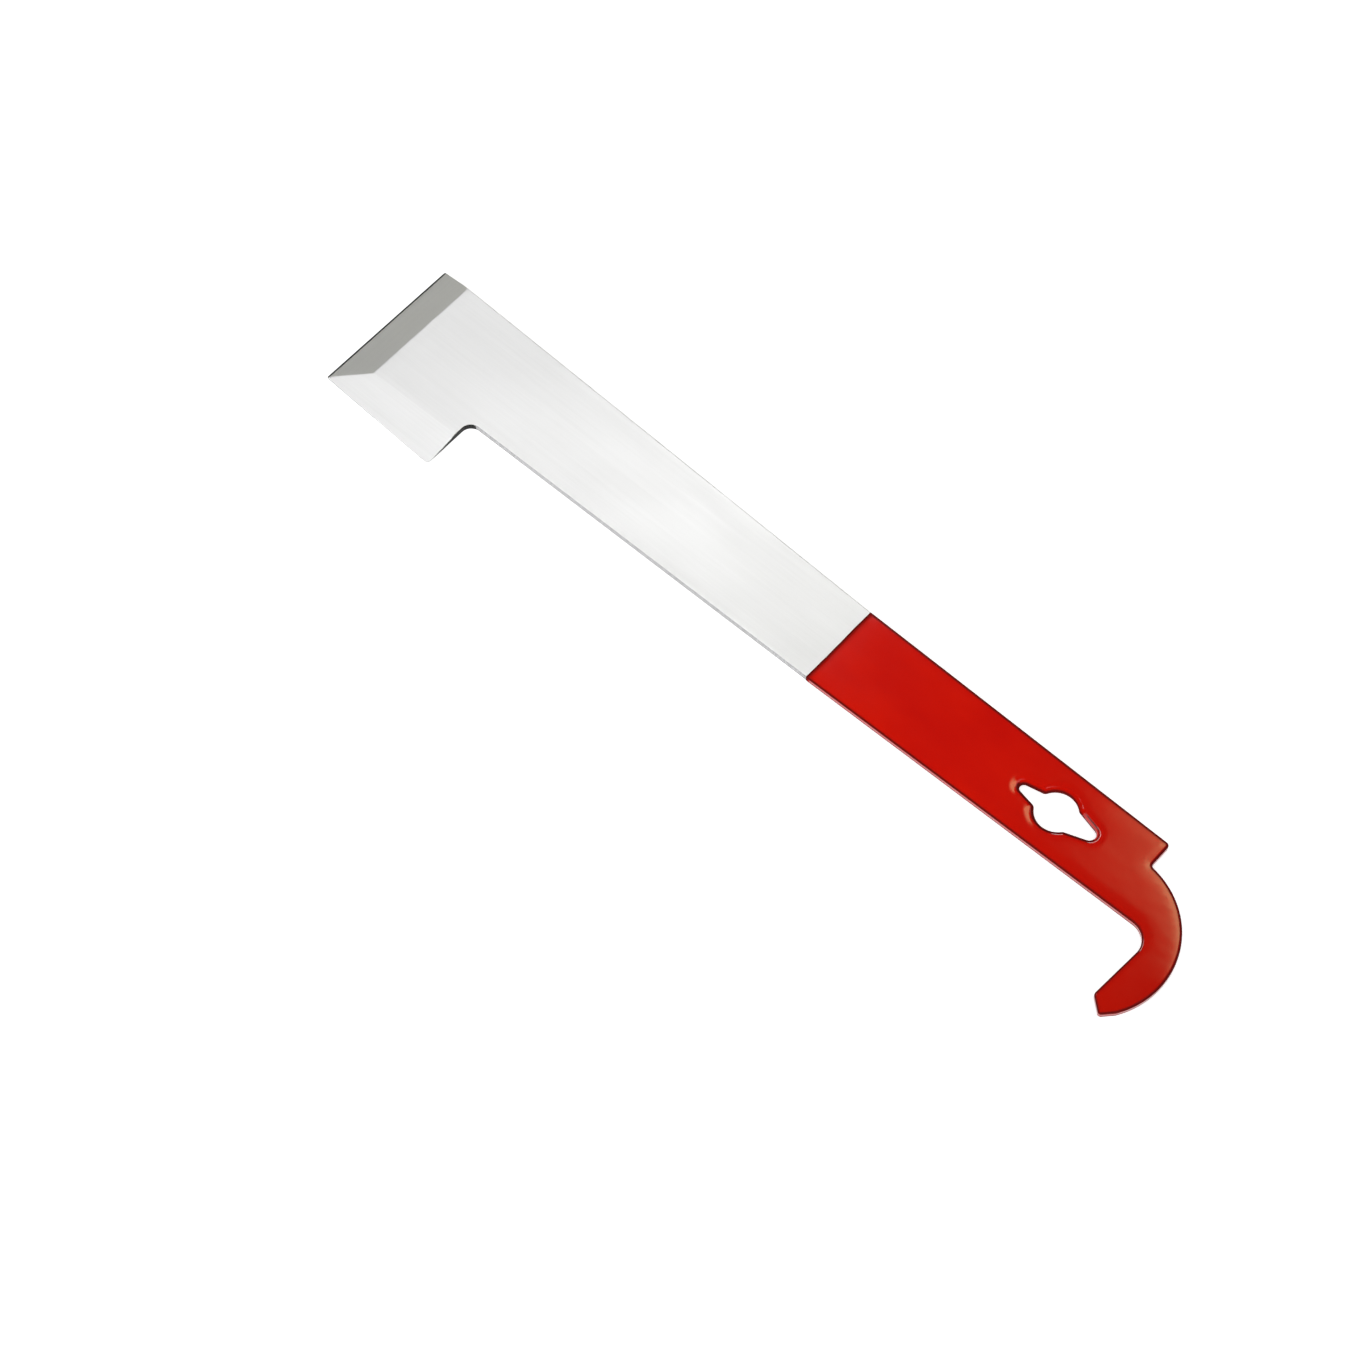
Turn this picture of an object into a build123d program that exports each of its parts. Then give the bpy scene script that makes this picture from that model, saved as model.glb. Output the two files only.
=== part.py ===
"""J-hook hive tool: one flat stainless plate with a dipped red handle coating.

Millimetres, +Z up. The tool lies flat on the coating's underside, with its length along X and the
cutting edge at the -X end. Outlines are drawn from the cutting edge and from the handle's centreline,
and DRAWING puts them so that the origin is under the middle of the whole tool.
"""

from build123d import *

import os
from math import cos, radians, sin, sqrt

# Stock and coating
PLATE_THICKNESS = 2.0
COATING = 0.15
EDGE_ROUNDING = 0.3
PUNCHED_ROUNDING = 0.7

# Along the tool, from the cutting edge
TOTAL_LENGTH = 267.3
FOOT_LENGTH = 37.6
PAINT_LINE = 150.8
STEP_X = 246.0

# Across the tool, from the handle's centreline
BLADE_TOP = 16.4
BLADE_BOTTOM = -27.9
FOOT_BOTTOM = -29.4
SHANK_ROOT = -13.5
HANDLE_HALF_WIDTH = 12.3
HANDLE_END_TOP = 11.4
THROAT = (257.9, -10.3)

# Hook
HOOK_CENTRE = (244.2, -18.95)
HOOK_RADIUS = TOTAL_LENGTH - COATING - HOOK_CENTRE[0]
HOOK_ARC_END = radians(-33)
HOOK_TIP_OUTER = (260.6, -34.5)
HOOK_TIP_INNER = (256.6, -31.1)

# Ground bevels on the upper face
END_BEVEL_WIDTH = 9.0
SIDE_BEVEL_START = -19.5
SIDE_BEVEL_END = -18.9
CUTTING_EDGE_THICKNESS = 0.55
GRIND_REACH = 30.0
GRIND_DEPTH = 6.0

# Nail and hanging hole: a round hole with a tapered lobe at each end
HOLE_X = 220.0
HOLE_Y = 0.37
HOLE_RADIUS = 5.7
HOLE_CORNER_RADIUS = 1.2
HOLE_REACH = 14.0
LOBES = (
    # turn about the hole's centre, distance to the tip's centre, tip radius, root radius
    (181.5, 9.8, 1.4, 3.4),
    (3.5, 9.5, 2.0, 4.8),
)

# The tool's centre, as drawn
MIDDLE_X = TOTAL_LENGTH / 2
MIDDLE_Y = -9.05
DRAWING = Plane(origin=(-MIDDLE_X, -MIDDLE_Y, 0))
PLATE_BOTTOM = DRAWING.offset(COATING)
COATED_THICKNESS = PLATE_THICKNESS + 2 * COATING

# The plate's outline
step_root_y = HOOK_CENTRE[1] + sqrt(HOOK_RADIUS**2 - (STEP_X - HOOK_CENTRE[0]) ** 2)
step_root = (STEP_X, step_root_y)
hook_arc_end = (
    HOOK_CENTRE[0] + HOOK_RADIUS * cos(HOOK_ARC_END),
    HOOK_CENTRE[1] + HOOK_RADIUS * sin(HOOK_ARC_END),
)
hook_arc_middle = (HOOK_CENTRE[0] + HOOK_RADIUS, HOOK_CENTRE[1])
shank_root = (FOOT_LENGTH, SHANK_ROOT)
foot_end = (FOOT_LENGTH, FOOT_BOTTOM)
blade_corner = (0, BLADE_BOTTOM)
step_tip = (STEP_X, HANDLE_END_TOP)

corner_radii = (
    (shank_root, 3.0),
    (foot_end, 1.2),
    (step_tip, 0.9),
    (step_root, 1.0),
    (THROAT, 5.5),
    (HOOK_TIP_OUTER, 0.8),
    (HOOK_TIP_INNER, 1.0),
)

# The two grinding planes rise from the cutting edges to the upper face
upper_z = COATING + PLATE_THICKNESS
mitre = DRAWING.from_local_coords(Vector(END_BEVEL_WIDTH, SIDE_BEVEL_START, upper_z))
side_bevel_end = DRAWING.from_local_coords(Vector(FOOT_LENGTH, SIDE_BEVEL_END, upper_z))
cutting_corner = DRAWING.from_local_coords(Vector(0, BLADE_BOTTOM, COATING + CUTTING_EDGE_THICKNESS))
across = Vector(0, 1, 0)
along = side_bevel_end - mitre
end_grind = Plane(origin=mitre, x_dir=across, z_dir=(cutting_corner - mitre).cross(-across))
side_grind = Plane(origin=mitre, x_dir=along, z_dir=along.cross(mitre - cutting_corner))

with BuildSketch(Plane.XY) as outline:
    with BuildLine():
        Polyline(
            step_root,
            step_tip,
            (PAINT_LINE, HANDLE_HALF_WIDTH),
            (0, BLADE_TOP),
            blade_corner,
            foot_end,
            shank_root,
            (PAINT_LINE, -HANDLE_HALF_WIDTH),
            THROAT,
            HOOK_TIP_INNER,
            HOOK_TIP_OUTER,
            hook_arc_end,
        )
        ThreePointArc(hook_arc_end, hook_arc_middle, step_root)
    make_face()
    for corner, radius in corner_radii:
        fillet(outline.vertices().sort_by_distance(corner)[0], radius)


def hole_outline(inset):
    """The hole, drawn smaller all round by the thickness of what lines it."""
    with BuildSketch(Plane.XY) as hole:
        with Locations((HOLE_X, HOLE_Y)):
            Circle(HOLE_RADIUS - inset)
        for turn, tip_distance, tip_radius, root_radius in LOBES:
            with BuildSketch(mode=Mode.PRIVATE) as lobe:
                Circle(root_radius - inset)
                with Locations((tip_distance, 0)):
                    Circle(tip_radius - inset)
                make_hull()
            with Locations(Location((HOLE_X, HOLE_Y), turn)):
                add(lobe.sketch)
        corners = hole.vertices().sort_by_distance((HOLE_X, HOLE_Y))[:4]
        fillet(corners, HOLE_CORNER_RADIUS + inset)
    return hole.sketch


def at_hole(edge):
    """Whether an edge belongs to the hole."""
    centre = DRAWING.to_local_coords(edge.center(CenterOf.BOUNDING_BOX))
    return abs(centre.X - HOLE_X) < HOLE_REACH and abs(centre.Y - HOLE_Y) < HOLE_REACH / 2


def is_left_sharp(edge):
    """Whether an edge is on a side that is ground, or at the paint line."""
    centre = DRAWING.to_local_coords(edge.center(CenterOf.BOUNDING_BOX))
    on_foot_side = centre.X < FOOT_LENGTH / 2 + 1 and centre.Y < BLADE_BOTTOM
    at_paint_line = abs(centre.X - PAINT_LINE) < 0.01 and abs(centre.Y) < 1
    return centre.X < 0.01 or on_foot_side or at_paint_line


def rim_edges(solid, chosen):
    """The chosen edges of the lower and upper flat faces."""
    flat = solid.faces().sort_by(Axis.Z)
    edges = flat[0].edges() + flat[-1].edges()
    return edges.filter_by(chosen)


# Steel: the whole plate, with a hidden tang under the coating
with BuildPart() as steel_blade:
    with BuildSketch(PLATE_BOTTOM):
        add(outline.sketch)
        add(hole_outline(0), mode=Mode.SUBTRACT)
    extrude(amount=PLATE_THICKNESS)
    fillet(rim_edges(steel_blade.part, at_hole), PUNCHED_ROUNDING)
    outer_rims = rim_edges(steel_blade.part, lambda edge: not at_hole(edge) and not is_left_sharp(edge))
    fillet(outer_rims, EDGE_ROUNDING)
    with BuildSketch(end_grind):
        Rectangle(GRIND_REACH * 2, GRIND_REACH * 2)
    extrude(amount=GRIND_DEPTH, mode=Mode.SUBTRACT)
    with BuildSketch(side_grind):
        Rectangle(GRIND_REACH * 2, GRIND_REACH, align=(Align.CENTER, Align.MAX))
    extrude(amount=GRIND_DEPTH, mode=Mode.SUBTRACT)
steel_blade.part.label = "steel_blade"

# Paint: an even coat round the handle, the hook and the inside of the hole
with BuildPart() as handle_coating:
    with BuildSketch(DRAWING):
        add(outline.sketch)
        with Locations((PAINT_LINE + COATING, 0)):
            Rectangle(
                TOTAL_LENGTH,
                TOTAL_LENGTH,
                align=(Align.MAX, Align.CENTER),
                mode=Mode.SUBTRACT,
            )
        offset(amount=COATING, kind=Kind.INTERSECTION)
        add(hole_outline(COATING), mode=Mode.SUBTRACT)
    extrude(amount=COATED_THICKNESS)
    fillet(rim_edges(handle_coating.part, at_hole), PUNCHED_ROUNDING + COATING)
    outer_rims = rim_edges(handle_coating.part, lambda edge: not at_hole(edge) and not is_left_sharp(edge))
    fillet(outer_rims, EDGE_ROUNDING + COATING)
    add(steel_blade.part, mode=Mode.SUBTRACT)
handle_coating.part.label = "handle_coating"

os.makedirs("parts", exist_ok=True)
export_step(steel_blade.part, "parts/steel_blade.step")
export_step(handle_coating.part, "parts/handle_coating.step")
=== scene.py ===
"""J-hook hive tool on a white table: a brushed and ground stainless plate with a dipped red enamel handle.

Metres throughout. Outlines are drawn from the cutting edge and from the handle's centreline, as the plate
was laid out, and at() puts a drawn point into the CAD frame. The plate is one closed mesh, and the enamel
is a closed shell grown out of the plate's own surface, so that the two fit everywhere.
"""

from math import asin, atan2, ceil, cos, pi, radians, sin, sqrt, tan

import bmesh
import bpy
import numpy as np
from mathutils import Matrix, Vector, geometry, noise


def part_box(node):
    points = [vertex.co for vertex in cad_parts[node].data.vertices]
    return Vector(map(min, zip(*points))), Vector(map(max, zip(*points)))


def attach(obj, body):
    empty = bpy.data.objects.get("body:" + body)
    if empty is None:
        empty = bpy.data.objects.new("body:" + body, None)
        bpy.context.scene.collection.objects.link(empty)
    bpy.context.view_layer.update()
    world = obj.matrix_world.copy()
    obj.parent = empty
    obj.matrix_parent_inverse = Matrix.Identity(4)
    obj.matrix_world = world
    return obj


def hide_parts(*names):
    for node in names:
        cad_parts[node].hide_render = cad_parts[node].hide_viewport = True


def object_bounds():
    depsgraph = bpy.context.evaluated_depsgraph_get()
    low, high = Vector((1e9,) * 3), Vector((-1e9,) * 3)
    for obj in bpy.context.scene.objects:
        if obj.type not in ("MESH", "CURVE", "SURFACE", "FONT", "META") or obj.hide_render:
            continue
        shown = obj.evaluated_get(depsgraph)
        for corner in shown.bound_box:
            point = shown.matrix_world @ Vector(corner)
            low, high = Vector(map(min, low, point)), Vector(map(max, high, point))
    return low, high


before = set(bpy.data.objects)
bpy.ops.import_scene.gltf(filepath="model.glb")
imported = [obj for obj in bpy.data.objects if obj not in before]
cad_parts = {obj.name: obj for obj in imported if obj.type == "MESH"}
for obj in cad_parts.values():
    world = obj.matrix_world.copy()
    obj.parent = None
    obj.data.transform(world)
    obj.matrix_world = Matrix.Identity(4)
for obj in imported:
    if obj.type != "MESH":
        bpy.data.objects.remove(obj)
cad_box = [list(corner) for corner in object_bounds()]

# The frame: where the plate and its coating begin and end
steel_low, steel_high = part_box("steel_blade")
coat_low, coat_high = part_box("handle_coating")
PLATE_BOTTOM = steel_low.z
PLATE_TOP = steel_high.z
PLATE_MIDDLE = (PLATE_BOTTOM + PLATE_TOP) / 2
COATING = steel_low.z - coat_low.z

# Across the tool, from the handle's centreline
BLADE_TOP = 0.0164
BLADE_BOTTOM = -0.0279
FOOT_BOTTOM = -0.0294
SHANK_ROOT = -0.0135
HANDLE_HALF_WIDTH = 0.0123
HANDLE_END_TOP = 0.0114
THROAT_Y = -0.0103
CENTRELINE_Y = steel_high.y - BLADE_TOP

# Along the tool, from the cutting edge
PAINT_LINE = coat_low.x - steel_low.x
PLATE_LENGTH = steel_high.x - steel_low.x
FOOT_LENGTH = 0.0376
STEP_X = 0.2460
THROAT_X = 0.2579

# Hook
HOOK_CENTRE = np.array([0.2442, -0.01895])
HOOK_RADIUS = PLATE_LENGTH - HOOK_CENTRE[0]
HOOK_ARC_END = radians(-33)
HOOK_TIP_OUTER = (0.2606, -0.0345)
HOOK_TIP_INNER = (0.2566, -0.0311)

# Corner radii in plan
BLADE_CORNER = 0.0005
SHANK_ROOT_RADIUS = 0.0030
FOOT_END_RADIUS = 0.0012
STEP_TIP_RADIUS = 0.0009
STEP_ROOT_RADIUS = 0.0010
THROAT_RADIUS = 0.0055
HOOK_OUTER_RADIUS = 0.0008
HOOK_INNER_RADIUS = 0.0010

# Hole: a circle with a tapered lobe at each end
HOLE_CENTRE = np.array([0.2200, 0.00037])
HOLE_RADIUS = 0.0057
HOLE_CORNER_RADIUS = 0.0012
LOBES = (
    # turn, distance to the tip's centre, tip radius, root radius
    (radians(3.5), 0.0095, 0.0020, 0.0048),
    (radians(181.5), 0.0098, 0.0014, 0.0034),
)

# Ground bevels
MITRE = (0.0090, -0.0195)
SIDE_BEVEL_END = -0.0189
CUTTING_EDGE = 0.00055
HONED_EDGE = 0.00045
HONING_SLOPE = tan(radians(19))
HONED_WIDTH = 0.00055
BEVEL_LINE_WIDTH = 0.00025
BEVEL_LINE_SOFTNESS = 0.00004
ON_GROUND_SIDE = 0.0002

# The plate's edges: how round they are, and how far the punch drew the face down beside the hole
EDGE_ROUNDING = 0.0003
PUNCHED_ROUNDING = 0.0007
GROUND_SIDE_ROUNDING = 0.05
ROLL_WIDTH = 0.0026
ROLL_DEPTH = 0.00034
ROLL_CURVE = 2.2
ROLL_FAR_SHARE = 0.25

# The enamel's thickness: thinner beside the outline, and a round lip with a wavy edge at the paint line
THIN_EDGE_WIDTH = 0.0026
THIN_EDGE_DEPTH = 0.00007
LIP_WIDTH = 0.0007
LIP_WAVE = 0.00010
LIP_WAVE_REACH = 0.004
BROAD_WAVES = 260
FINE_WAVES = 900
FINE_WAVE_SHARE = 0.4

# Painted shade on the enamel, brown along the rims, the paint line and the shaded walls: how far from the
# rims and from the paint line, how far up the hole's far side, and how firmly at the paint line
SHADE_RIM = 0.0003
SHADE_HOLE_RIM = 0.0005
SHADE_HOLE_FOOT = 0.0014
SHADE_RIM_FADE = 0.0005
SHADE_RIM_SHIFT = (0, -0.0002)
SHADE_LINE = 0.0018
SHADE_LINE_FIRMNESS = 1.25
ON_OUTER_SIDE = 0.00003
MATTE_MARGIN = 0.00025

# How much painted shade the outer sides and the hole's far side take, from 0 to 1, and past what share a
# face is dull
SHADE_SIDE = 0.62
SHADE_HOLE_WALL = 0.5
DULL_BEYOND = 0.65

# How softly the hole's far side begins, and where towards the hook its wall is left lit, with painted shade
# only low down and in a dark line below the rim
HOLE_SIDE_BLEND = 0.0010
LIT_END_FROM = 0.0050
LIT_END_BLEND = 0.0015
LIT_END_FOOT = 0.0010
LIT_END_DARK_LINE = 0.00063
LIT_END_DARK_LINE_HALF = 0.00015
LIT_END_DARK_LINE_FIRMNESS = 1.5

# The mesh: spacing, the share of a spacing that must stay clear, and when triangles join and edges are sharp
ARC_STEP = radians(4)
RIM_STEPS = 6
WALL_STEPS = 5
EDGE_SPACING = 0.0010
GRID_SPACING = 0.0015
HOLE_BANDS = (0.0010, 0.0013, 0.0017, 0.0022, 0.0028)
EDGE_BANDS = (0.0006, 0.0011, 0.0018)
BAND_CLEARANCE = 0.97
LINE_CLEARANCE = 0.7
LIP_STEPS = 6
SAME_PLACE = 1e-7
QUAD_BEND = radians(2)
QUAD_SKEW = radians(40)
SHARP_ANGLE = radians(28)

# Finishes on the plate, in the order of its materials, and the slopes that tell its sides and the sides
# that face the hook, which are painted near black as shade
BRUSHED, END_BEVEL, SIDE_BEVEL, SHEARED_SIDE, SHADED_SHEARED_SIDE, HONED = range(6)
STEEP_BELOW = 0.8
FACING_HOOK = 0.3

# Steel: tints, the darker streaks as a share of the tint, how far the streaks change the roughness, and half
# the height over which the sheared sides turn torn
BRUSHED_TINT = (0.84, 0.84, 0.84, 1)
END_BEVEL_TINT = (0.71, 0.71, 0.69, 1)
SIDE_BEVEL_TINT = (0.81, 0.81, 0.81, 1)
# The honed edge's dark tint is painted shade, for the dark line along the cutting edge
HONED_SHADE_TINT = (0.35, 0.35, 0.35, 1)
DARK_STREAK = 0.95
ROUGHNESS_SPREAD = 0.055
TEAR_BLEND = 0.0002

# Enamel colours, the deeper red and the brown being painted shade, and how much of the deeper red is at the
# hook
FRESH_RED = (0.67, 0.0046, 0.0012, 1)
BRIGHT_RED = (0.75, 0.0076, 0.0012, 1)
HOOK_SHADE_RED = (0.50, 0.0069, 0.0016, 1)
SHADE_BROWN = (0.13, 0.0076, 0.0066, 1)
HOOK_SHADE_SHARE = 0.8

# Patterns, in cycles a metre along X, Y and Z, and the range that most of a noise falls in
CLOUD_SCALE = (26, 48, 48)
FLOW_SCALE = (45, 90, 90)
PEEL_SCALE = (520, 520, 520)
SPECK_SCALE = (2600, 2600, 2600)
DIE_STREAK_SCALE = (5200, 5200, 260)
NOISE_RANGE = (0.3, 0.7)

# Lights, each a rectangle at unit distance ahead: its middle, its half size, the softness of its sides and
# its strength. The overhead ones are placed by X and Y, and the low window by X and Z. The least that counts
# as ahead keeps a direction along the light's own plane from dividing by nothing.
SIDE_LIGHT = ((0.75, -0.75), (1.00, 0.50), 0.08, 1.4)
HOOK_END_LIGHT = ((1.20, 0.00), (1.10, 1.20), 0.08, 0.72)
BLADE_STRIP = ((-0.72, -0.15), (0.10, 1.45), 0.03, 2.05)
SHANK_STRIP = ((-0.385, -0.15), (0.035, 1.45), 0.015, 5.3)
LOW_WINDOW = ((-0.55, 0.48), (0.85, 0.30), 0.08, 1.2)
WARM_LIGHT = ((-0.05, 0.575), (0.15, 0.12), 0.03, 2.1)
WARM_LIGHT_BLUE_LOSS = 0.50
LEAST_AHEAD = 0.02

# The room: how high a direction points, and the room's brightness there, low down and overhead
HORIZON = (0.10, 0.14)
ZENITH = (0.70, 0.02)

# Table
TABLE_SIZE = 12
TABLE_GAP = 0.00002
TABLE_WHITE = (0.82, 0.82, 0.82, 1)
TABLE_GLOW = 0.62

# Camera
CAMERA_PLACE = (0.25839, -0.32331, 0.74510)
CAMERA_TURN = (0.49266, -0.00271, 0.72970)
LENS_MM = 90.6
SENSOR_MM = 36
SEEN_AS_FAR_AS = 30


def at(point):
    """A drawn point, or rows of them, in the CAD frame."""
    return np.asarray(point) + (steel_low.x, CENTRELINE_Y)


def unit(angle):
    return np.array([cos(angle), sin(angle)])


# ---- Outlines


def arc(centre, radius, start, end):
    """Points along an arc, both ends included."""
    count = max(2, ceil(abs(end - start) / ARC_STEP))
    return [np.asarray(centre) + radius * unit(angle) for angle in np.linspace(start, end, count + 1)]


def rounded_corner(before, corner, after, radius):
    """The arc that rounds a corner between two straight runs."""
    before, corner, after = map(np.asarray, (before, corner, after))
    back = (before - corner) / np.linalg.norm(before - corner)
    ahead = (after - corner) / np.linalg.norm(after - corner)
    middle = (back + ahead) / np.linalg.norm(back + ahead)
    half_angle = np.arccos(np.clip(np.dot(back, ahead), -1, 1)) / 2
    centre = corner + middle * radius / sin(half_angle)
    first = corner + back * radius / tan(half_angle) - centre
    last = corner + ahead * radius / tan(half_angle) - centre
    start = atan2(first[1], first[0])
    turn = (atan2(last[1], last[0]) - start + pi) % (2 * pi) - pi
    return arc(centre, radius, start, start + turn)


def filled_in(points):
    """The closed loop with extra points on its long straight runs."""
    loop = []
    for here, there in zip(points, points[1:] + points[:1]):
        count = max(1, round(np.linalg.norm(there - here) / EDGE_SPACING))
        loop += [here + (there - here) * step / count for step in range(count)]
    return np.array(loop)


def plate_outline():
    """The plate's outline, anticlockwise: the hook's back, the lifting step, the blade, the foot, the throat
    and the hook's tip."""
    root = np.array([STEP_X + STEP_ROOT_RADIUS, 0])
    reach = sqrt((HOOK_RADIUS + STEP_ROOT_RADIUS) ** 2 - (root[0] - HOOK_CENTRE[0]) ** 2)
    root[1] = HOOK_CENTRE[1] + reach
    root_angle = atan2(reach, root[0] - HOOK_CENTRE[0])
    points = arc(HOOK_CENTRE, HOOK_RADIUS, HOOK_ARC_END, root_angle)
    points += arc(root, STEP_ROOT_RADIUS, root_angle - pi, -pi)[1:]
    corners = (
        ((STEP_X, HANDLE_END_TOP), STEP_TIP_RADIUS),
        ((PAINT_LINE, HANDLE_HALF_WIDTH), 0),
        ((0, BLADE_TOP), BLADE_CORNER),
        ((0, BLADE_BOTTOM), BLADE_CORNER),
        ((FOOT_LENGTH, FOOT_BOTTOM), FOOT_END_RADIUS),
        ((FOOT_LENGTH, SHANK_ROOT), SHANK_ROOT_RADIUS),
        ((PAINT_LINE, -HANDLE_HALF_WIDTH), 0),
        ((THROAT_X, THROAT_Y), THROAT_RADIUS),
        (HOOK_TIP_INNER, HOOK_INNER_RADIUS),
        (HOOK_TIP_OUTER, HOOK_OUTER_RADIUS),
    )
    places = [points[-1]] + [corner for corner, _ in corners] + [points[0]]
    for index, (corner, radius) in enumerate(corners):
        if radius:
            points += rounded_corner(places[index], corner, places[index + 2], radius)
        else:
            points.append(np.array(corner))
    return at(filled_in(points))


def lobe_outline(turn, reach, tip, root):
    """One lobe of the hole, anticlockwise, and the angles at which it leaves and rejoins the circle."""
    slope = asin((root - tip) / reach)
    outward, along = unit(pi / 2 - slope), unit(-slope)
    side = HOLE_CORNER_RADIUS + root
    corner = side * outward + sqrt((HOLE_CORNER_RADIUS + HOLE_RADIUS) ** 2 - side**2) * along
    join = atan2(corner[1], corner[0])
    upper = arc((reach, 0), tip, 0, pi / 2 - slope)
    upper += arc(corner, HOLE_CORNER_RADIUS, -pi / 2 - slope, join - pi)
    lower = [point * (1, -1) for point in upper[:0:-1]]
    spin = np.array([unit(turn), unit(turn + pi / 2)])
    return [HOLE_CENTRE + point @ spin for point in lower + upper], turn - join, turn + join


def hole_outline():
    """The hole's outline, clockwise, so that the plate is always on the loop's left."""
    points = []
    lobes = [lobe_outline(*lobe) for lobe in LOBES]
    for (lobe, _, leave), (_, enter, _) in zip(lobes, lobes[1:] + lobes[:1]):
        points += lobe
        sweep = (enter - leave) % (2 * pi)
        points += arc(HOLE_CENTRE, HOLE_RADIUS, leave, leave + sweep)[1:-1]
    return at(filled_in(points))[::-1]


def inset(loop, distance):
    """The loop moved into the plate, with its corners kept square."""
    ahead = np.roll(loop, -1, axis=0) - loop
    ahead /= np.linalg.norm(ahead, axis=1)[:, None]
    left = np.stack([-ahead[:, 1], ahead[:, 0]], axis=1)
    before = np.roll(left, 1, axis=0)
    spread = 1 + np.sum(left * before, axis=1)
    return loop + (left + before) / spread[:, None] * np.reshape(distance, (-1, 1))


def distance_to(loop, points):
    """How far each point is from a closed loop."""
    start, run = loop, np.roll(loop, -1, axis=0) - loop
    offset = points[:, None, :] - start[None]
    share = np.clip(np.sum(offset * run, axis=2) / np.sum(run * run, axis=1), 0, 1)
    return np.linalg.norm(offset - share[..., None] * run, axis=2).min(axis=1)


def is_inside(loop, points):
    """Whether each point is inside a closed loop, by counting the edges it has to its right."""
    x, y = points[:, 0][:, None], points[:, 1][:, None]
    (x0, y0), (x1, y1) = loop.T, np.roll(loop, -1, axis=0).T
    spans = (y0 > y) != (y1 > y)
    crossing = x0 + (y - y0) * (x1 - x0) / np.where(y1 == y0, 1, y1 - y0)
    return np.sum(spans & (x < crossing), axis=1) % 2 == 1


# ---- The plate's surface


def plane_through(first, second, third):
    """The height of the plane through three points, as a function of x and y."""
    normal = np.cross(np.subtract(second, first), np.subtract(third, first))

    def height(points):
        offset = points - np.array(first[:2])
        return first[2] - (offset @ normal[:2]) / normal[2]

    return height


def soft_minimum(first, second, softness):
    share = np.clip(0.5 + 0.5 * (second - first) / softness, 0, 1)
    return second + (first - second) * share - softness * share * (1 - share)


mitre = (*at(MITRE), PLATE_TOP)
side_end = (*at((FOOT_LENGTH, SIDE_BEVEL_END)), PLATE_TOP)
blade_corner = (*at((0, BLADE_BOTTOM)), PLATE_BOTTOM + CUTTING_EDGE)
beside_mitre = (mitre[0], mitre[1] + 0.01, PLATE_TOP)
end_bevel = plane_through(blade_corner, mitre, beside_mitre)
side_bevel = plane_through(blade_corner, mitre, side_end)


def ground_height(points):
    """The upper face with its two bevels and the honed cutting edge."""
    on_foot = points[:, 0] < side_end[0] + EDGE_SPACING
    side = np.where(on_foot, side_bevel(points), end_bevel(points))
    bevels = soft_minimum(end_bevel(points), side, BEVEL_LINE_SOFTNESS)
    face = soft_minimum(bevels, np.full(len(points), PLATE_TOP), BEVEL_LINE_SOFTNESS)
    honed = PLATE_BOTTOM + HONED_EDGE + HONING_SLOPE * (points[:, 0] - steel_low.x)
    return np.minimum(face, honed)


def roll_over(points):
    """How far the punch has drawn the upper face down beside the hole, less on the side towards the hook."""
    share = np.clip(1 - distance_to(hole, points) / ROLL_WIDTH, 0, 1)
    towards_hook = np.clip((points[:, 0] - at(HOLE_CENTRE)[0]) / HOLE_RADIUS + 0.5, 0, 1)
    return ROLL_DEPTH * share**ROLL_CURVE * (1 - (1 - ROLL_FAR_SHARE) * towards_hook)


def is_ground_side(points):
    """Whether outline points are on a side that a bevel runs out to."""
    x, y = (points - at((0, 0))).T
    beside_foot = (x < FOOT_LENGTH - FOOT_END_RADIUS) & (y < BLADE_BOTTOM + ON_GROUND_SIDE)
    return (x < ON_GROUND_SIDE) | beside_foot


def rim_rings(loop, rounding):
    """Rings of points from the upper face, over both rims and the wall, to the lower face."""
    lower_share = np.where(is_ground_side(loop), GROUND_SIDE_ROUNDING, 1)
    rings = []
    for angle in np.linspace(pi / 2, 0, RIM_STEPS + 1):
        ring = inset(loop, rounding * (1 - cos(angle)))
        height = PLATE_TOP - rounding * (1 - sin(angle)) - roll_over(ring)
        rings.append(np.column_stack([ring, np.minimum(height, ground_height(ring))]))
    wall = []
    for angle in np.linspace(0, pi / 2, RIM_STEPS + 1):
        ring = inset(loop, rounding * (1 - cos(angle)))
        height = PLATE_BOTTOM + rounding * (1 - sin(angle)) * lower_share
        wall.append(np.column_stack([ring, height]))
    for step in range(1, WALL_STEPS):
        rings.append(rings[RIM_STEPS] + (wall[0] - rings[RIM_STEPS]) * step / WALL_STEPS)
    return rings + wall


def line_points(start, end, spacing):
    count = ceil(np.linalg.norm(np.subtract(end, start)) / spacing)
    return np.linspace(start, end, count + 1)


def bevel_lines():
    """Three close lines along each bevel's upper edge and along the mitre, and one along the honed edge."""
    top = at((MITRE[0], BLADE_TOP - EDGE_ROUNDING * 2))
    foot = np.array(side_end[:2]) - (EDGE_ROUNDING * 2, 0)
    corner = np.array(blade_corner[:2]) + (EDGE_ROUNDING * 2, EDGE_ROUNDING * 2)
    honed_start = at((HONED_WIDTH, BLADE_BOTTOM + HONED_WIDTH * 2))
    honed_end = at((HONED_WIDTH, BLADE_TOP - EDGE_ROUNDING * 2))
    lines = [line_points(honed_start, honed_end, EDGE_SPACING)]
    for start, end in ((mitre[:2], top), (mitre[:2], foot), (mitre[:2], corner)):
        run = np.subtract(end, start)
        side = np.array([-run[1], run[0]]) / np.linalg.norm(run) * BEVEL_LINE_WIDTH
        lines += [line_points(start + side * k, end + side * k, EDGE_SPACING) for k in (-1, 0, 1)]
    return lines


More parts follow.
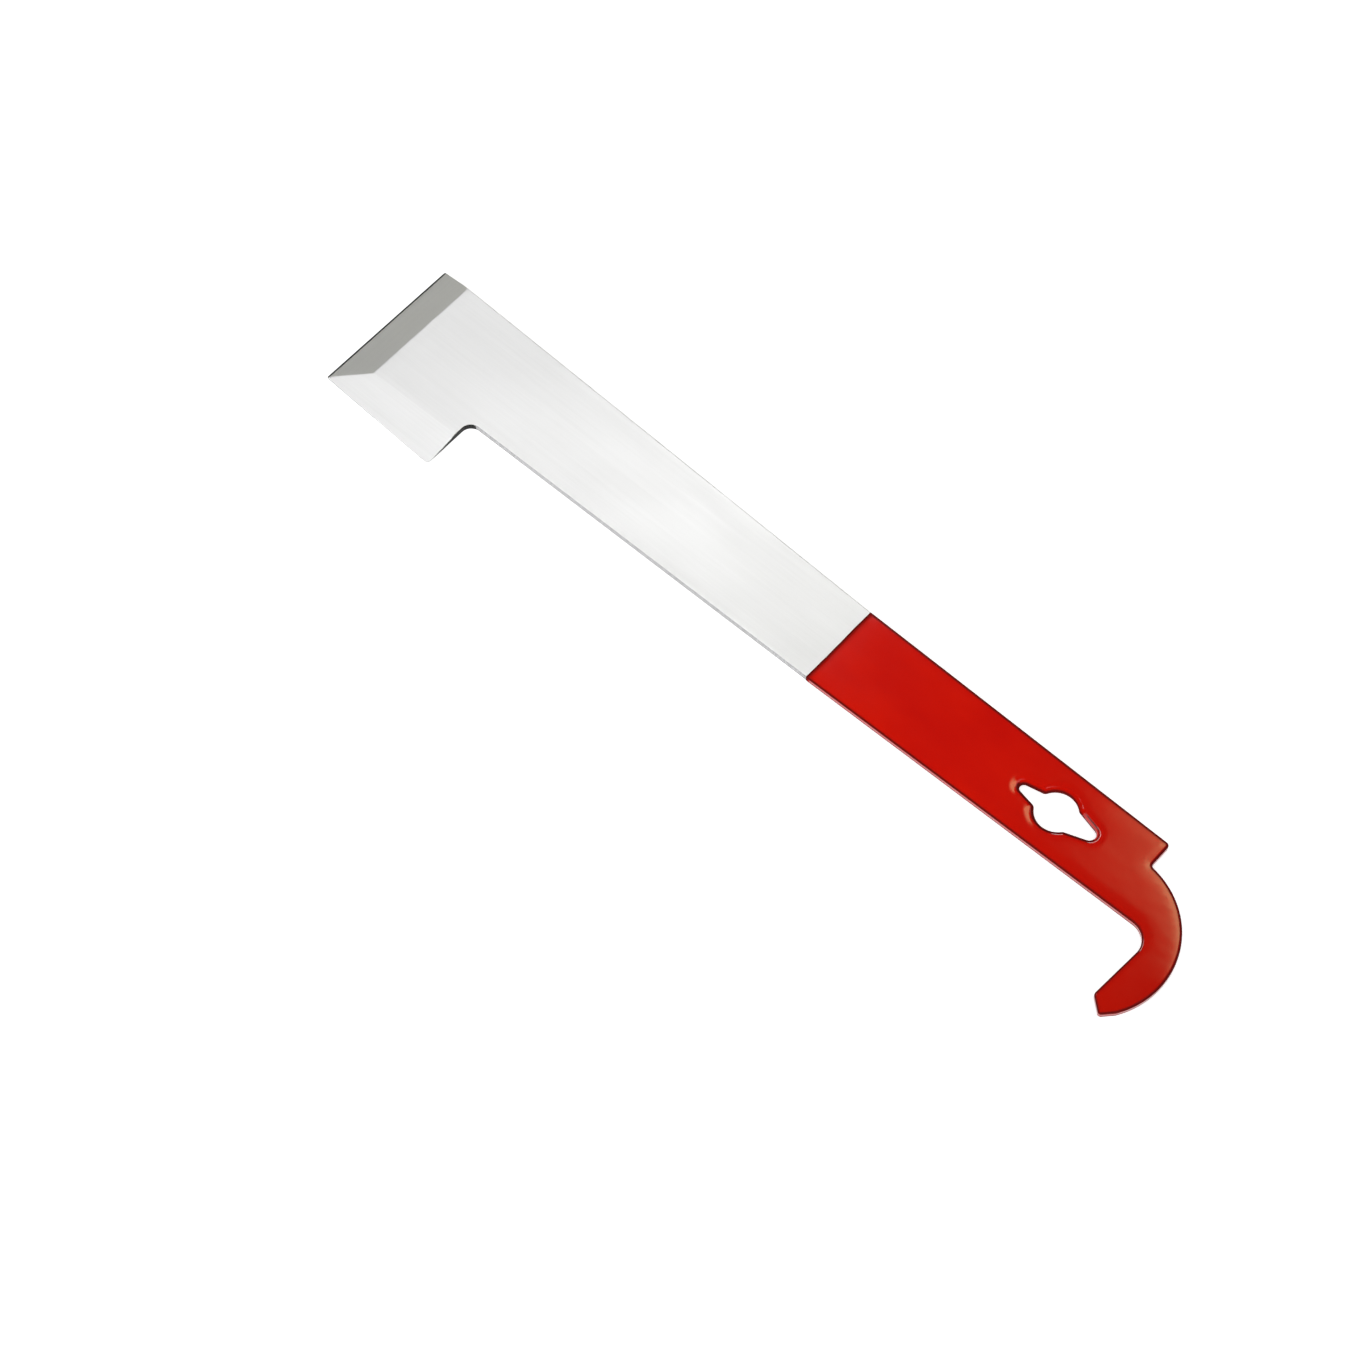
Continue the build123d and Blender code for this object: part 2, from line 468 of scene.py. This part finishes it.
def face_points(rims):
    """Loose points for the faces: a grid, with closer bands beside the outline and the hole."""
    low, high = rims[0].min(axis=0), rims[0].max(axis=0)
    axes = [np.arange(low[k], high[k], GRID_SPACING) for k in (0, 1)]
    grid = np.stack(np.meshgrid(*axes), axis=-1).reshape(-1, 2)
    far = (distance_to(outline, grid) > EDGE_BANDS[-1] + GRID_SPACING / 2) & is_inside(outline, grid)
    far &= (distance_to(hole, grid) > HOLE_BANDS[-1] + GRID_SPACING / 2) & ~is_inside(hole, grid)
    kept = [grid[far]]
    for loop, bands in ((outline, EDGE_BANDS), (hole, HOLE_BANDS)):
        for distance in bands:
            band = inset(loop, distance)
            clear = distance_to(outline, band) > distance * BAND_CLEARANCE
            clear &= distance_to(hole, band) > distance * BAND_CLEARANCE
            kept.append(band[clear])
    return np.concatenate(kept)


def face_mesh(rims):
    """Triangles that fill the face between the rims. Returns their points, each point's index along the rims
    where it has one, and the triangles."""
    lines = bevel_lines()
    loose = face_points(rims)
    gaps = np.linalg.norm(loose[:, None] - np.concatenate(lines)[None], axis=2)
    loose = loose[gaps.min(axis=1) > EDGE_SPACING * LINE_CLEARANCE]
    points, edges, rim_size = [], [], sum(len(rim) for rim in rims)
    for rim in rims:
        first, size = sum(map(len, points)), len(rim)
        points.append(rim)
        edges += [(first + k, first + (k + 1) % size) for k in range(size)]
    for line in lines:
        first = sum(map(len, points))
        points.append(line)
        edges += [(first + k, first + k + 1) for k in range(len(line) - 1)]
    points = np.concatenate(points + [loose])
    flat = [Vector(point) for point in points]
    found, _, faces, origins, _, _ = geometry.delaunay_2d_cdt(flat, edges, [], 1, SAME_PLACE)
    found = np.array(found)
    rim_index = [next((k for k in origin if k < rim_size), None) for origin in origins]
    middles = np.array([found[list(face)].mean(axis=0) for face in faces])
    solid = is_inside(rims[0], middles) & ~is_inside(rims[1], middles)
    return found, rim_index, [face for face, keep in zip(faces, solid) if keep]


def build_plate():
    """The closed plate, as a bmesh, before its finish."""
    bm = bmesh.new()
    columns = []
    for loop, rounding in ((outline, EDGE_ROUNDING), (hole, PUNCHED_ROUNDING)):
        rings = [[bm.verts.new(point) for point in ring] for ring in rim_rings(loop, rounding)]
        for upper, lower in zip(rings, rings[1:]):
            for k in range(len(loop)):
                bm.faces.new((upper[k - 1], lower[k - 1], lower[k], upper[k]))
        columns.append(rings)
    rims = [np.array([vert.co[:2] for vert in rings[0]]) for rings in columns]
    found, rim_index, triangles = face_mesh(rims)
    upper_height = ground_height(found) - roll_over(found)
    lower_height = np.full(len(found), PLATE_BOTTOM)
    for level, heights, flip in ((0, upper_height, False), (-1, lower_height, True)):
        rim_verts = [vert for rings in columns for vert in rings[level]]
        used = sorted({index for face in triangles for index in face})
        verts = {}
        for index in used:
            known = rim_index[index]
            if known is None:
                verts[index] = bm.verts.new((*found[index], heights[index]))
            else:
                verts[index] = rim_verts[known]
        for face in triangles:
            corners = [verts[index] for index in face]
            bm.faces.new(corners[::-1] if flip else corners)
    bmesh.ops.recalc_face_normals(bm, faces=bm.faces)
    return bm


# ---- The enamel's shell


def cut_across(bm, x):
    """A new edge loop right round the plate at one place along it."""
    everything = bm.verts[:] + bm.edges[:] + bm.faces[:]
    bmesh.ops.bisect_plane(bm, geom=everything, dist=SAME_PLACE, plane_co=(x, 0, 0), plane_no=(1, 0, 0))


def lip_rise(x):
    """The enamel's thickness along the tool, as a share: it rises roundly from nothing at the paint line."""
    along = np.clip((x - coat_low.x) / LIP_WIDTH, 0, 1)
    return np.sqrt(1 - (1 - along) ** 2)


def thin_paint(places, to_outline):
    """How much painted shade the enamel takes at each place, and how dull it is, both from 0 on the faces to
    1 on the rims, at the paint line and at the foot of the hole's far side. The outer sides take part of the
    painted shade and stay glossy, and above its foot the hole's far side takes part of it and is dull. The
    painted shade on the rims is shifted towards -Y, so it is wider where a side faces +Y. The hole's far side
    is left lit at its hook end, where only a painted dark line below the rim is shaded."""
    from_outline = distance_to(outline + SHADE_RIM_SHIFT, places[:, :2])
    from_hole = distance_to(hole + SHADE_RIM_SHIFT, places[:, :2])
    depth = (PLATE_TOP - PLATE_BOTTOM) / 2 - np.abs(places[:, 2] - PLATE_MIDDLE)
    beyond, aside = (places[:, :2] - at(HOLE_CENTRE)).T
    far_side = np.clip(aside / HOLE_SIDE_BLEND + 0.5, 0, 1)
    lit_end = np.clip((beyond - LIT_END_FROM) / LIT_END_BLEND, 0, 1) * (aside > 0)
    foot = SHADE_HOLE_FOOT + (LIT_END_FOOT - SHADE_HOLE_FOOT) * lit_end
    above_foot = places[:, 2] - PLATE_BOTTOM - foot
    from_rim = np.maximum(from_outline, depth) - SHADE_RIM
    past_hole_rim = from_hole - SHADE_HOLE_RIM
    from_hole_rim = np.maximum(past_hole_rim, far_side * above_foot)
    rim = np.clip(1 - np.minimum(from_rim, from_hole_rim) / SHADE_RIM_FADE, 0, 1)
    line = np.clip(SHADE_LINE_FIRMNESS * (1 - (places[:, 0] - coat_low.x) / SHADE_LINE), 0, 1)
    off_lit_end_dark_line = np.abs(from_hole - LIT_END_DARK_LINE) / LIT_END_DARK_LINE_HALF
    lit_end_dark_line = lit_end * np.clip(LIT_END_DARK_LINE_FIRMNESS - off_lit_end_dark_line, 0, 1)
    side = SHADE_SIDE * (to_outline < ON_OUTER_SIDE)
    shaded_far_side = far_side * (1 - lit_end)
    wall = SHADE_HOLE_WALL * shaded_far_side * np.clip(1 - past_hole_rim / SHADE_RIM_FADE, 0, 1)
    matte = shaded_far_side * np.clip(1 - (past_hole_rim - MATTE_MARGIN) / SHADE_RIM_FADE, 0, 1)
    painted_shade = np.max([rim, line, lit_end_dark_line, side, wall], axis=0)
    dull = np.max([rim, line, lit_end_dark_line, matte], axis=0)
    return painted_shade, dull


def grow_enamel(plate):
    """The plate's surface beyond the paint line, twice over, with one copy grown outward by the enamel's
    thickness and the two joined at the paint line."""
    bm = plate.copy()
    # Each point's painted shade and dullness, for the enamel's two materials
    painted_shade = bm.verts.layers.float.new("thin_paint")
    dull = bm.verts.layers.float.new("dull_paint")
    bare = [face for face in bm.faces if face.calc_center_median().x < coat_low.x]
    bmesh.ops.delete(bm, geom=bare, context="FACES")
    bm.normal_update()
    steel_side = bm.faces[:]
    places = np.array([vert.co for vert in bm.verts])
    to_outline = distance_to(outline, places[:, :2])
    edge_share = np.clip(1 - to_outline / THIN_EDGE_WIDTH, 0, 1)
    thickness = (COATING - THIN_EDGE_DEPTH * edge_share**2) * lip_rise(places[:, 0])
    originals = bm.verts[:]
    for vert, shade_share, dullness in zip(originals, *thin_paint(places, to_outline)):
        vert[painted_shade] = shade_share
        vert[dull] = dullness
    grown = [vert.co + vert.normal * depth for vert, depth in zip(originals, thickness)]
    copies = bmesh.ops.duplicate(bm, geom=bm.verts[:] + bm.edges[:] + bm.faces[:])["vert_map"]
    for vert, place in zip(originals, grown):
        copies[vert].co = place
    bmesh.ops.reverse_faces(bm, faces=steel_side)
    rim = [vert for vert in bm.verts if vert.is_boundary]
    bmesh.ops.remove_doubles(bm, verts=rim, dist=SAME_PLACE)
    return bm


def wave_paint_line(bm):
    """Makes the dipped edge a little uneven. It moves the plate's points too, so that both still match."""
    for vert in bm.verts:
        near = max(0, 1 - abs(vert.co.x - coat_low.x) / LIP_WAVE_REACH)
        broad = noise.noise(Vector((0, vert.co.y, vert.co.z)) * BROAD_WAVES)
        fine = noise.noise(vert.co * FINE_WAVES)
        vert.co.x += LIP_WAVE * (broad + FINE_WAVE_SHARE * fine) * near


def to_object(bm, name):
    """A mesh object of the bmesh, with quads where they fit, and its UVs along Y and X."""
    bmesh.ops.join_triangles(
        bm, faces=bm.faces, angle_face_threshold=QUAD_BEND, angle_shape_threshold=QUAD_SKEW
    )
    bmesh.ops.recalc_face_normals(bm, faces=bm.faces)
    across = bm.loops.layers.uv.new("across_and_along")
    for face in bm.faces:
        face.smooth = True
        for loop in face.loops:
            loop[across].uv = (loop.vert.co.y, loop.vert.co.x)
    mesh = bpy.data.meshes.new(name)
    bm.to_mesh(mesh)
    bm.free()
    mesh.set_sharp_from_angle(angle=SHARP_ANGLE)
    piece = bpy.data.objects.new(name, mesh)
    bpy.context.scene.collection.objects.link(piece)
    shading = piece.modifiers.new("flat_faces_stay_flat", "WEIGHTED_NORMAL")
    shading.keep_sharp = True
    return piece


# ---- Materials


class Shader:
    """A material's node tree, with short calls for the nodes used here."""

    def __init__(self, tree):
        self.tree = tree
        tree.nodes.clear()

    def add(self, kind, settings=None, **inputs):
        """A node with its settings and its inputs, each a value or another node's output."""
        made = self.tree.nodes.new(kind)
        for key, value in (settings or {}).items():
            setattr(made, key, value)
        for key, value in inputs.items():
            self.set(made, key.replace("_", " "), value)
        return made

    def set(self, made, key, value):
        socket = made.inputs[int(key) if key.isdigit() else key]
        if isinstance(value, bpy.types.NodeSocket):
            self.tree.links.new(value, socket)
        else:
            socket.default_value = value

    def math(self, operation, first, second=0.0):
        made = self.tree.nodes.new("ShaderNodeMath")
        made.operation = operation
        self.set(made, "0", first)
        self.set(made, "1", second)
        return made.outputs[0]

    def weighted(self, *parts):
        """The sum of two values, each times its weight."""
        return self.math("ADD", *[self.math("MULTIPLY", value, weight) for value, weight in parts])

    def place(self):
        """A node whose outputs are the place on the object, along X, Y and Z."""
        split = self.add("ShaderNodeSeparateXYZ")
        self.set(split, "0", self.add("ShaderNodeTexCoord").outputs["Object"])
        return split

    def noise(self, scale, detail=2.0, roughness=0.5):
        """Noise with its own scale, in cycles a metre, along X, Y and Z."""
        place = self.add("ShaderNodeTexCoord").outputs["Object"]
        scaled = self.add("ShaderNodeVectorMath", {"operation": "MULTIPLY"})
        self.set(scaled, "0", place)
        self.set(scaled, "1", scale)
        made = self.add("ShaderNodeTexNoise", Scale=1.0, Detail=detail, Roughness=roughness)
        self.set(made, "Vector", scaled.outputs[0])
        return made.outputs[0]

    def remap(self, value, low, high, to_low, to_high):
        """The value stretched from one range to another, and held at the ends."""
        made = self.add("ShaderNodeMapRange", From_Min=low, From_Max=high, To_Min=to_low, To_Max=to_high)
        self.set(made, "Value", value)
        return made.outputs[0]

    def blend(self, share, first, second):
        made = self.add("ShaderNodeMix", {"data_type": "RGBA"})
        for index, value in ((0, share), (6, first), (7, second)):
            self.set(made, str(index), value)
        return made.outputs[2]

    def bump(self, layers):
        """Bumps from several height patterns, each with its height in metres."""
        normal = None
        for height, depth in layers:
            made = self.add("ShaderNodeBump", Strength=1.0, Distance=depth, Height=height)
            if normal:
                self.set(made, "Normal", normal)
            normal = made.outputs[0]
        return normal

    def finish(self, **inputs):
        surface = self.add("ShaderNodeBsdfPrincipled", **inputs)
        output = self.add("ShaderNodeOutputMaterial")
        self.tree.links.new(surface.outputs[0], output.inputs["Surface"])


def new_material(name):
    material = bpy.data.materials.new(name)
    material.use_nodes = True
    return material, Shader(material.node_tree)


def grain(along_x, long, wide):
    """Noise scale for streaks of that length and width, in metres, running along X or along Y."""
    return (1 / long, 1 / wide, 1 / wide) if along_x else (1 / wide, 1 / long, 1 / wide)


def ground_steel(name, along_x, tint, roughness):
    """Stainless steel with a ground grain: fine streaks over broader ones, and faint clouds from handling."""
    material, shader = new_material(name)
    fine = shader.noise(grain(along_x, long=0.014, wide=0.00012), detail=3.0, roughness=0.6)
    broad = shader.noise(grain(along_x, long=0.050, wide=0.0009))
    clouds = shader.noise(CLOUD_SCALE)
    streaks = shader.weighted((fine, 0.6), (broad, 0.4))
    light = shader.weighted((streaks, 0.7), (clouds, 0.3))
    dark_tint = tuple(part * DARK_STREAK for part in tint[:3]) + (1,)
    rougher, smoother = roughness + ROUGHNESS_SPREAD, roughness - ROUGHNESS_SPREAD
    shader.finish(
        Base_Color=shader.blend(shader.remap(light, 0.36, 0.62, 0, 1), dark_tint, tint),
        Metallic=1.0,
        Roughness=shader.remap(light, *NOISE_RANGE, rougher, smoother),
        Anisotropic=0.8,
        Tangent=shader.add("ShaderNodeTangent", {"direction_type": "UV_MAP"}).outputs[0],
        Anisotropic_Rotation=0.0 if along_x else 0.25,
        Normal=shader.bump([(broad, 0.000003), (fine, 0.0000015)]),
    )
    return material


def blanked_steel(name, dark, light):
    """The plate's cut sides: dull, with the die's upright streaks and a rougher torn band low down."""
    material, shader = new_material(name)
    streaks = shader.noise(DIE_STREAK_SCALE, detail=3.0, roughness=0.6)
    torn = shader.noise(SPECK_SCALE, detail=4.0, roughness=0.65)
    place = shader.place()
    low_down = shader.remap(place.outputs["Z"], PLATE_MIDDLE + TEAR_BLEND, PLATE_MIDDLE - TEAR_BLEND, 0, 1)
    mixed = shader.add("ShaderNodeMix", {"data_type": "FLOAT"}, Factor=low_down, A=streaks, B=torn)
    pattern = mixed.outputs[0]
    shade = shader.remap(pattern, *NOISE_RANGE, 0, 1)
    shader.finish(
        Base_Color=shader.blend(shade, (dark, dark, dark, 1), (light, light, light, 1)),
        Metallic=1.0,
        Roughness=shader.remap(pattern, *NOISE_RANGE, 0.62, 0.42),
        Normal=shader.bump([(pattern, 0.000012)]),
    )
    return material


def enamel_colour(shader, specks):
    """Red, deeper towards the hook as painted shade, and almost brown where painted shade lies on the rims,
    the paint line and the shaded walls. Returns the colour and the flow pattern under it."""
    flow = shader.noise(FLOW_SCALE)
    painted_shade = shader.add("ShaderNodeAttribute", {"attribute_name": "thin_paint"}).outputs["Fac"]
    painted_shade = shader.math("ADD", shader.math("MULTIPLY", painted_shade, painted_shade), shader.math("MULTIPLY", specks, 0.2))
    painted_shade = shader.remap(painted_shade, 0.1, 1.0, 0, 1)
    along = shader.place().outputs["X"]
    # Painted shade: the red deepens towards the hook
    hook_shade = shader.remap(along, 0.5 * coat_high.x, coat_high.x, 0, HOOK_SHADE_SHARE)
    fresh = shader.blend(shader.remap(flow, *NOISE_RANGE, 0, 1), FRESH_RED, BRIGHT_RED)
    body = shader.blend(hook_shade, fresh, HOOK_SHADE_RED)
    # The brown blended in here is painted shade on the rims, the paint line and the shaded walls
    return shader.blend(painted_shade, body, SHADE_BROWN), flow


def red_enamel():
    """Glossy dipped enamel: faint orange peel and flow, and fine specks."""
    material, shader = new_material("red_enamel")
    peel = shader.noise(PEEL_SCALE, roughness=0.45)
    specks = shader.noise(SPECK_SCALE, detail=1.0)
    colour, flow = enamel_colour(shader, specks)
    shader.finish(
        Base_Color=colour,
        Roughness=shader.remap(specks, *NOISE_RANGE, 0.05, 0.08),
        IOR=1.5,
        Coat_Weight=0.7,
        Coat_Roughness=0.04,
        Normal=shader.bump([(flow, 0.00006), (peel, 0.0000035)]),
    )
    return material


def thin_enamel():
    """The same enamel without its shine, for the dull places, with the same painted shade."""
    material, shader = new_material("thin_enamel")
    specks = shader.noise(SPECK_SCALE, detail=1.0)
    colour, _ = enamel_colour(shader, specks)
    shader.finish(
        Base_Color=colour,
        Roughness=shader.remap(specks, *NOISE_RANGE, 0.5, 0.7),
        Specular_IOR_Level=0.0,
    )
    return material


# ---- Pieces


def finish_steel_faces(piece):
    """Gives each face of the plate its finish. The face and the foot's bevel are ground lengthwise, the end
    bevel across, and the cutting edge is honed, with a dark tint that is painted shade. The sheared sides are
    dull, and where they face the hook they are painted near black as shade."""
    for material in (
        ground_steel("brushed_steel", True, BRUSHED_TINT, 0.39),
        ground_steel("end_bevel_steel", False, END_BEVEL_TINT, 0.34),
        ground_steel("side_bevel_steel", True, SIDE_BEVEL_TINT, 0.40),
        blanked_steel("sheared_side", 0.35, 0.60),
        # Painted shade: the sheared sides that face the hook are tinted near black.
        blanked_steel("shaded_sheared_side", 0.01, 0.05),
        ground_steel("honed_shaded_steel", True, HONED_SHADE_TINT, 0.25),
    ):
        piece.data.materials.append(material)
    middles = np.array([face.center for face in piece.data.polygons])
    normals = np.array([face.normal for face in piece.data.polygons])
    lowered = ground_height(middles[:, :2]) < PLATE_TOP - BEVEL_LINE_SOFTNESS
    upper = middles[:, 2] > PLATE_BOTTOM + EDGE_ROUNDING / 4
    bevel = np.where(end_bevel(middles[:, :2]) < side_bevel(middles[:, :2]), END_BEVEL, SIDE_BEVEL)
    bevel = np.where(middles[:, 0] < steel_low.x + HONED_WIDTH, HONED, bevel)
    face = np.where(lowered & upper, bevel, BRUSHED)
    side = np.where(normals[:, 0] > FACING_HOOK, SHADED_SHEARED_SIDE, SHEARED_SIDE)
    finish = np.where(np.abs(normals[:, 2]) < STEEP_BELOW, side, face)
    piece.data.polygons.foreach_set("material_index", finish.astype(np.int32))


def finish_enamel_faces(piece):
    """Gives the enamel its gloss, and its dull places the dull enamel, with the same painted shade."""
    piece.data.materials.append(red_enamel())
    piece.data.materials.append(thin_enamel())
    dull = np.array([value.value for value in piece.data.attributes["dull_paint"].data])
    is_dull = [dull[list(face.vertices)].mean() > DULL_BEYOND for face in piece.data.polygons]
    piece.data.polygons.foreach_set("material_index", np.array(is_dull, dtype=np.int32))


outline = plate_outline()
hole = hole_outline()

plate = build_plate()
for step in range(LIP_STEPS + 1):
    cut_across(plate, coat_low.x + LIP_WIDTH * (step / LIP_STEPS) ** 2)
enamel = grow_enamel(plate)
wave_paint_line(plate)
wave_paint_line(enamel)

ground_blade = to_object(plate, "ground_blade")
finish_steel_faces(ground_blade)
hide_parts("steel_blade")
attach(ground_blade, "root")

dipped_handle = to_object(enamel, "dipped_handle")
finish_enamel_faces(dipped_handle)
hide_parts("handle_coating")
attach(dipped_handle, "root")


# ---- Table, light and camera


def white_table():
    """A backlit white table, which is why the tool casts hardly any shadow."""
    bpy.ops.mesh.primitive_plane_add(size=TABLE_SIZE, location=(0, 0, cad_box[0][2] - TABLE_GAP))
    table = bpy.context.object
    table.name = "white_table"
    material, shader = new_material("white_table")
    shader.finish(
        Base_Color=TABLE_WHITE,
        Roughness=0.7,
        Emission_Color=(1, 1, 1, 1),
        Emission_Strength=TABLE_GLOW,
    )
    table.data.materials.append(material)


def softbox(shader, ahead, sides, middle, half_size, softness, strength):
    """A rectangular light at unit distance ahead, as brightness by direction. Its middle and its half size
    are measured along the two sides."""
    level = shader.math("MAXIMUM", ahead, LEAST_AHEAD)
    shares = []
    for side, centre, half in zip(sides, middle, half_size):
        offset = shader.math("SUBTRACT", shader.math("DIVIDE", side, level), centre)
        away = shader.math("ABSOLUTE", offset)
        shares.append(shader.remap(away, half + softness, half - softness, 0, 1))
    return shader.math("MULTIPLY", shader.math("MULTIPLY", *shares), strength)


def studio_light():
    """Soft lights in a dim room: two large ones over the camera's side and past the hook, two narrow strips
    over the blade's end, a low window on the camera's side, and a small warm light over the far side."""
    world = bpy.data.worlds.new("studio")
    world.use_nodes = True
    bpy.context.scene.world = world
    shader = Shader(world.node_tree)
    axes = shader.add("ShaderNodeSeparateXYZ")
    shader.set(axes, "0", shader.add("ShaderNodeTexCoord").outputs["Generated"])
    x, y, z = axes.outputs
    toward_camera = shader.math("MULTIPLY", y, -1.0)
    overhead = (SIDE_LIGHT, HOOK_END_LIGHT, BLADE_STRIP, SHANK_STRIP)
    lights = [softbox(shader, z, (x, y), *light) for light in overhead]
    lights.append(softbox(shader, toward_camera, (x, z), *LOW_WINDOW))
    warm = softbox(shader, z, (x, y), *WARM_LIGHT)
    room = shader.remap(z, HORIZON[0], ZENITH[0], HORIZON[1], ZENITH[1])
    total = shader.math("ADD", room, warm)
    for light in lights:
        total = shader.math("ADD", total, light)
    blue = shader.math("SUBTRACT", total, shader.math("MULTIPLY", warm, WARM_LIGHT_BLUE_LOSS))
    colour = shader.add("ShaderNodeCombineColor", Red=total, Green=total, Blue=blue)
    background = shader.add("ShaderNodeBackground", Color=colour.outputs[0], Strength=1.0)
    output = shader.add("ShaderNodeOutputWorld")
    world.node_tree.links.new(background.outputs[0], output.inputs["Surface"])


def camera():
    data = bpy.data.cameras.new("camera")
    data.lens = LENS_MM
    data.sensor_width = SENSOR_MM
    data.clip_end = SEEN_AS_FAR_AS
    made = bpy.data.objects.new("camera", data)
    made.location = CAMERA_PLACE
    made.rotation_euler = CAMERA_TURN
    bpy.context.scene.collection.objects.link(made)
    bpy.context.scene.camera = made


white_table()
studio_light()
camera()
bpy.context.scene.view_settings.view_transform = "Standard"

bpy.context.view_layer.update()
